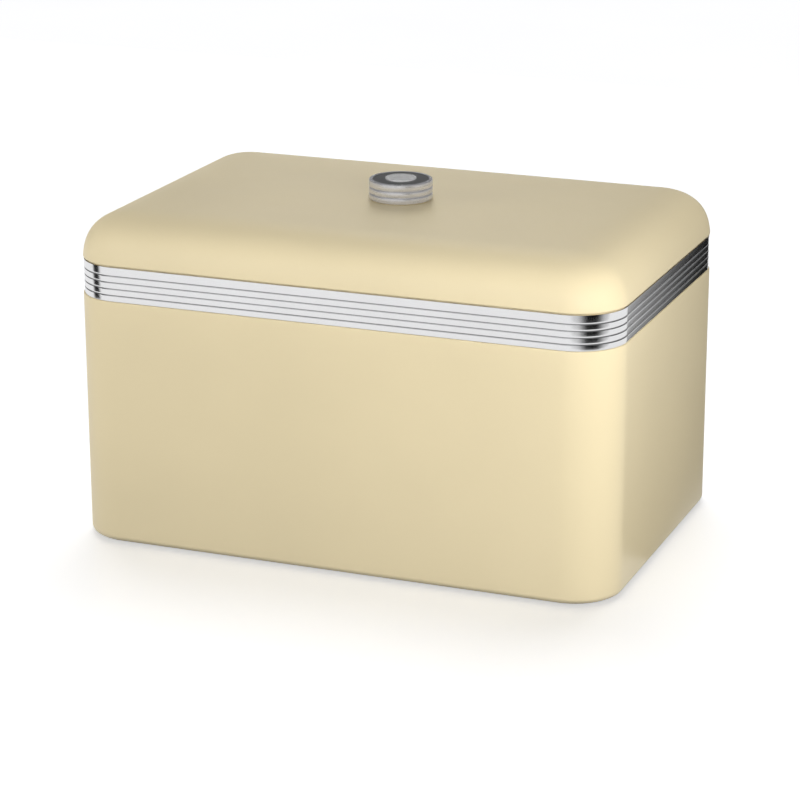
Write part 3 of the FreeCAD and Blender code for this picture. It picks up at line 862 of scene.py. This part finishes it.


# The lamps' strengths began as a fit, one render per lamp, to tones sampled in the photograph. Some were then
# changed.
world_look(0.16)
floor_sun(energy=1.6, azimuth=-162, elevation=62, spread=40)
area_light("back_left_softbox", polar(-165, 18, 2.6), MIDDLE, 2.6, 1.4, 21.4)
area_light("back_right_softbox", polar(140, 22, 2.2), MIDDLE, 1.2, 1.2, 3.6)
area_light("high_back_softbox", polar(-158, 28, 2.2), MIDDLE, 0.6, 1.6, 27)
area_light("overhead_softbox", (0, -0.1, 1.4), LID_MIDDLE, 1.2, 1.0, 1.5)
area_light("key_front_right", (0.75, -1.10, 0.50), RIGHT_CORNER, 0.35, 0.35, 1.95)
area_light("low_front_right", (0.62, -0.85, 0.36), RIGHT_CORNER, 0.3, 0.4, 2.85)
area_light("low_left", (-1.2, -0.6, 0.35), LEFT_CORNER, 0.6, 0.5, 8.4)
area_light("strip_front", (0, -0.50, 0.27), FRONT_ROLL, 1.0, 0.12, 0.8)
area_light("strip_right", (0.60, -0.25, 0.30), RIGHT_ROLL, 0.25, 0.15, 1.5)

STREAK_FRONT_RIGHT = ((0.0, 0.85), (0.22, 0.60), (0.46, 0.0), (0.59, 0.0), (0.84, 0.55), (1.0, 0.85))
STREAK_LEFT = ((0.0, 0.85), (0.33, 0.0), (0.67, 0.0), (1.0, 0.85))
STREAK_BACK_RIGHT = ((0.0, 0.0), (0.30, 0.0), (0.70, 0.30), (1.0, 0.85))
EVEN_FRONT = ((0.0, 0.5), (0.3, 0.6), (0.7, 0.6), (1.0, 0.5))
EVEN_BACK = ((0.0, 0.5), (0.3, 0.65), (0.7, 0.65), (1.0, 0.5))
card("flag_front_right", (0.51, -0.43, 0), 47, 1.05, 0.32, STREAK_FRONT_RIGHT)
card("flag_left", (-0.62, -0.28, 0), -68, 0.26, 0.32, STREAK_LEFT)
card("flag_back_right", (0.30, 0.35, 0), 0, 0.16, 0.32, STREAK_BACK_RIGHT)
card("card_front_high", (-0.4, -1.5, 0.25), 0, 2.4, 1.5, EVEN_FRONT)
card("card_back_low", (-0.6, 1.5, 0), 0, 1.8, 0.42, EVEN_BACK)

# a dark wedge on the floor at the right, which the band's right side mirrors
WEDGE_Z = -1.5 * MM
WEDGE = [(0.192, -0.02, WEDGE_Z), (0.27, -0.02, WEDGE_Z), (0.52, 0.90, WEDGE_Z), (0.27, 0.90, WEDGE_Z)]
wedge_look = stage_look("flag_floor_right_look", BLACK, MATT, 0.0)
stage_plane("flag_floor_right", WEDGE, wedge_look.material, ("glossy",))


# ---- Camera --------------------------------------------------------------------------------------------
# Fitted to the bin's outline in the photograph.
EYE = Vector((0.6818, -1.7240, 0.6768))
LOOK_AT = Vector((0.00134, -0.00584, 0.0851))
ROLL = math.radians(-0.14)


def build_camera():
    """Camera at the photograph's viewing angle."""
    data = bpy.data.cameras.new("camera")
    data.sensor_fit = "HORIZONTAL"
    data.sensor_width = 36.0
    data.lens = 126.84
    data.clip_start = 0.05
    data.clip_end = 60.0
    camera = bpy.data.objects.new("camera", data)
    facing = (LOOK_AT - EYE).to_track_quat("-Z", "Y").to_matrix()
    camera.matrix_world = Matrix.Translation(EYE) @ (facing @ Matrix.Rotation(ROLL, 3, "Z")).to_4x4()
    bpy.context.scene.collection.objects.link(camera)
    bpy.context.scene.camera = camera


build_camera()
bpy.context.scene.view_settings.view_transform = "Standard"
